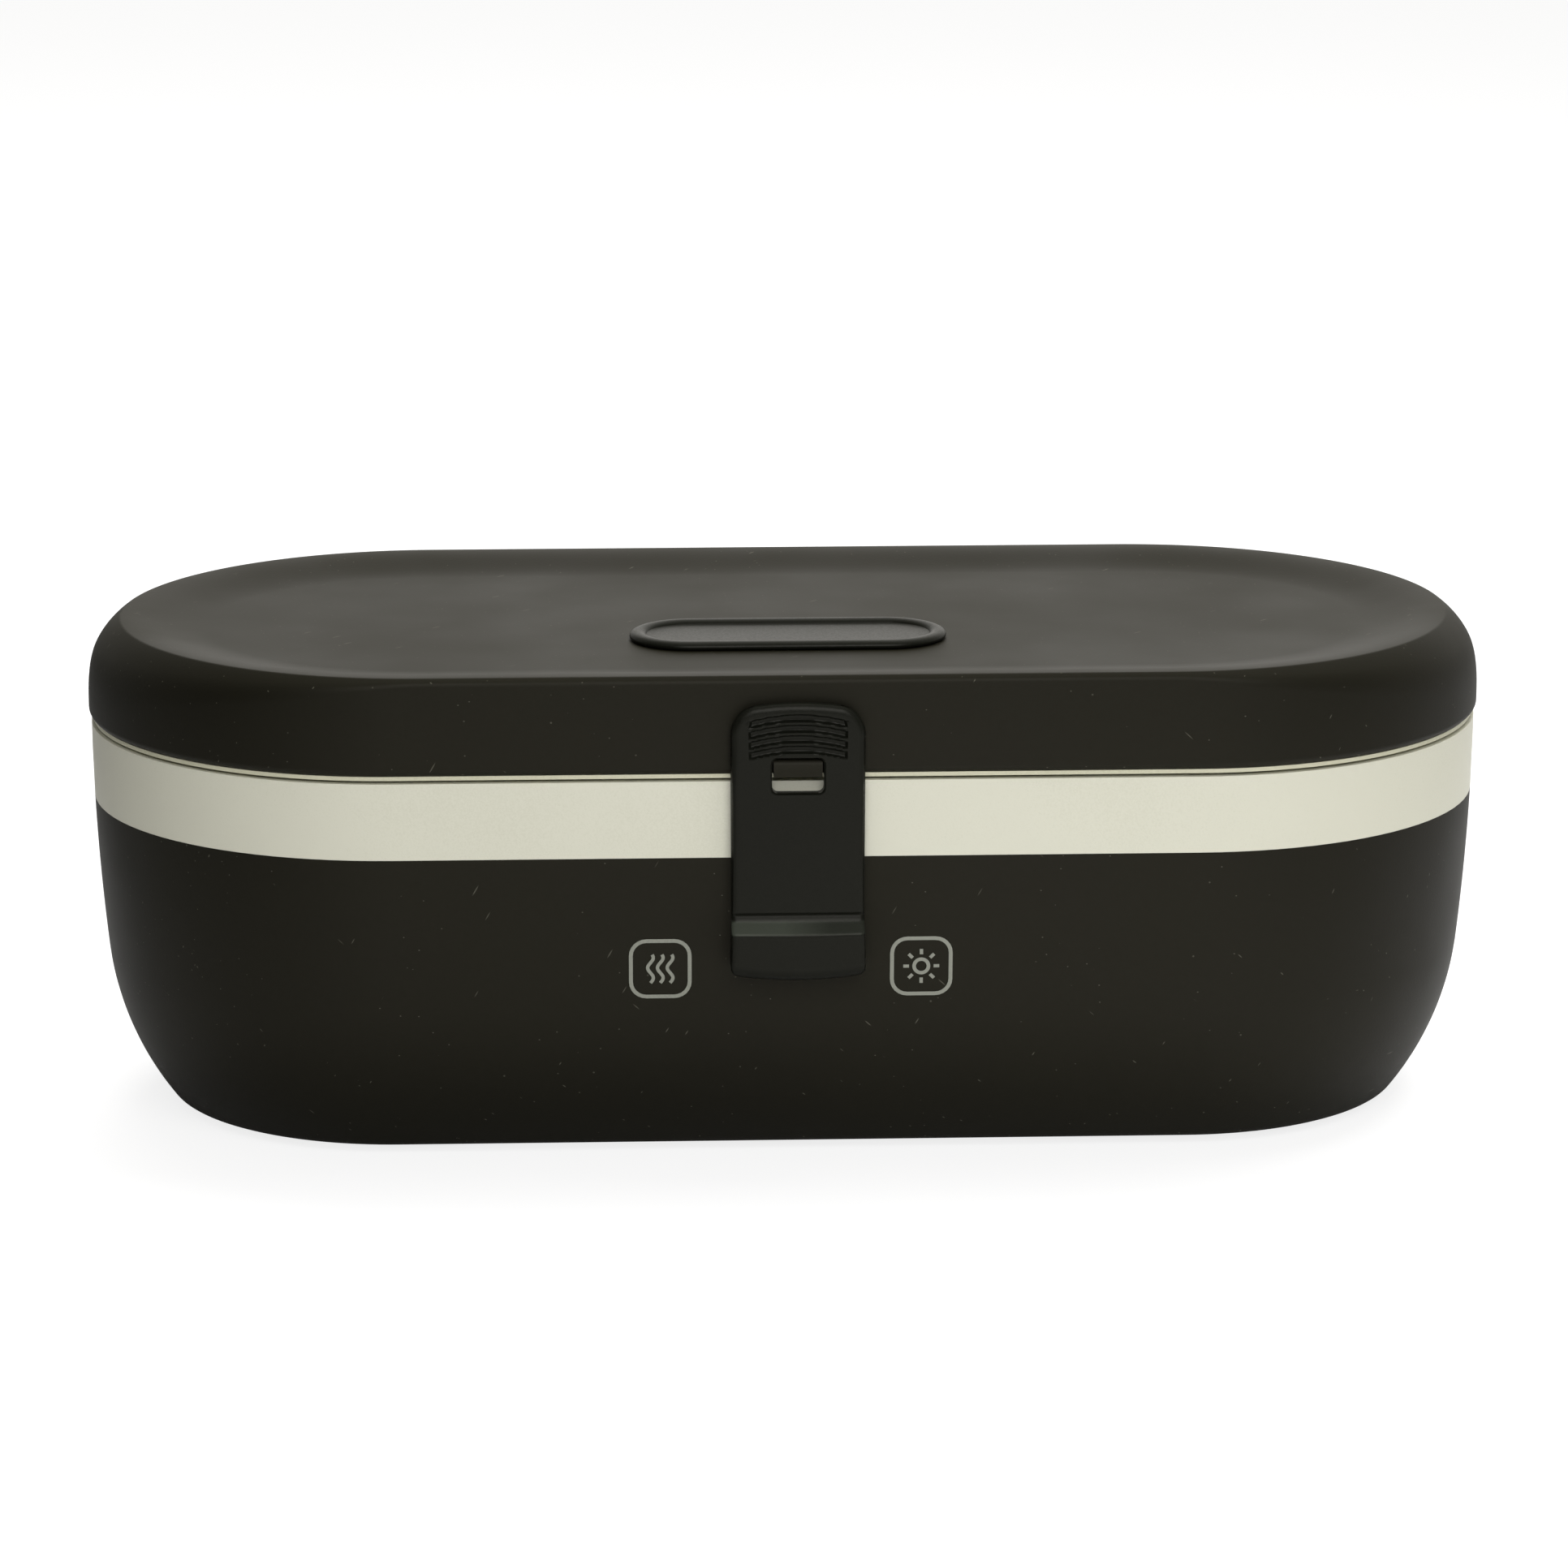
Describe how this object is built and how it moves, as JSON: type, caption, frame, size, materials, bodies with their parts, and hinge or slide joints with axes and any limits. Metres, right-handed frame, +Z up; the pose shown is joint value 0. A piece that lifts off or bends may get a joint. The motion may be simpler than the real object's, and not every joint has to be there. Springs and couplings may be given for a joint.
{
  "type": "electric lunch box",
  "caption": "Pill-shaped electric lunch box with a hinged dished lid, a front latch, a lift-up vent cover, touch keys and a divided steel tray in a heated well.",
  "frame": {"origin": "on the table, under the middle of the case", "axes": "+Z up, +X to the right seen from the front, -Y to the front with the latch, +Y to the hinge and the power inlet"},
  "size_m": [0.28, 0.1356, 0.1],
  "materials": {
    "case_coat": "soft-touch matt coat on moulded plastic",
    "cream_plastic": "fine matt moulded plastic",
    "latch_plastic": "fine satin moulded plastic",
    "foot_rubber": "matt",
    "silicone": "matt translucent",
    "pressed_steel": "fine brushed",
    "fastener_steel": "plated",
    "plate_alloy": "satin",
    "heater_block": "matt",
    "contact_brass": "plain",
    "circuit_board": "solder mask",
    "socket_plastic": "satin",
    "key_line": "frosted, lit from behind",
    "insulation": "needled mat",
    "switch_plastic": "moulded",
    "divider_plastic": "translucent",
    "lens_plastic": "frosted clear"
  },
  "bodies": {
    "base": {"lower_shell": "case_coat", "inner_housing": "cream_plastic", "rubber_feet": "foot_rubber", "base_screws": "fastener_steel", "heater_plate": "plate_alloy", "plate_seal": "silicone", "ptc_blocks": "heater_block", "clamp_straps": "fastener_steel", "strap_screws": "fastener_steel", "insulation_mat": "insulation", "thermostat": "switch_plastic", "thermal_fuse": "switch_plastic", "control_board": "circuit_board", "touch_board": "circuit_board", "touch_pads": "contact_brass", "heat_key_light": "key_line", "lamp_key_light": "key_line", "power_inlet": "socket_plastic", "inlet_pins": "contact_brass", "lamp_contacts": "contact_brass", "food_tray": "pressed_steel", "tray_divider": "divider_plastic", "hinge_pin": "fastener_steel", "latch_pin": "fastener_steel"},
    "lid": {"lid_shell": "case_coat", "lid_liner": "cream_plastic", "lid_gasket": "silicone", "liner_screws": "fastener_steel", "lamp_board": "circuit_board", "lamp_lens": "lens_plastic", "lamp_pads": "contact_brass", "vent_pin": "fastener_steel"},
    "latch": {"latch": "latch_plastic"},
    "vent": {"vent_cover": "latch_plastic"}
  },
  "joints": [
    {"name": "lid_hinge", "type": "hinge", "parent": "base", "child": "lid", "pos_m": [0, 0.0655, 0.0785], "axis": [-1, 0, 0], "range_deg": [0, 105]},
    {"name": "latch_hinge", "type": "hinge", "parent": "base", "child": "latch", "pos_m": [0, -0.0639, 0.0428], "axis": [1, 0, 0], "range_deg": [0, 90]},
    {"name": "vent_hinge", "type": "hinge", "parent": "lid", "child": "vent", "pos_m": [0, -0.0037, 0.0971], "axis": [-1, 0, 0], "range_deg": [0, 80]}
  ]
}
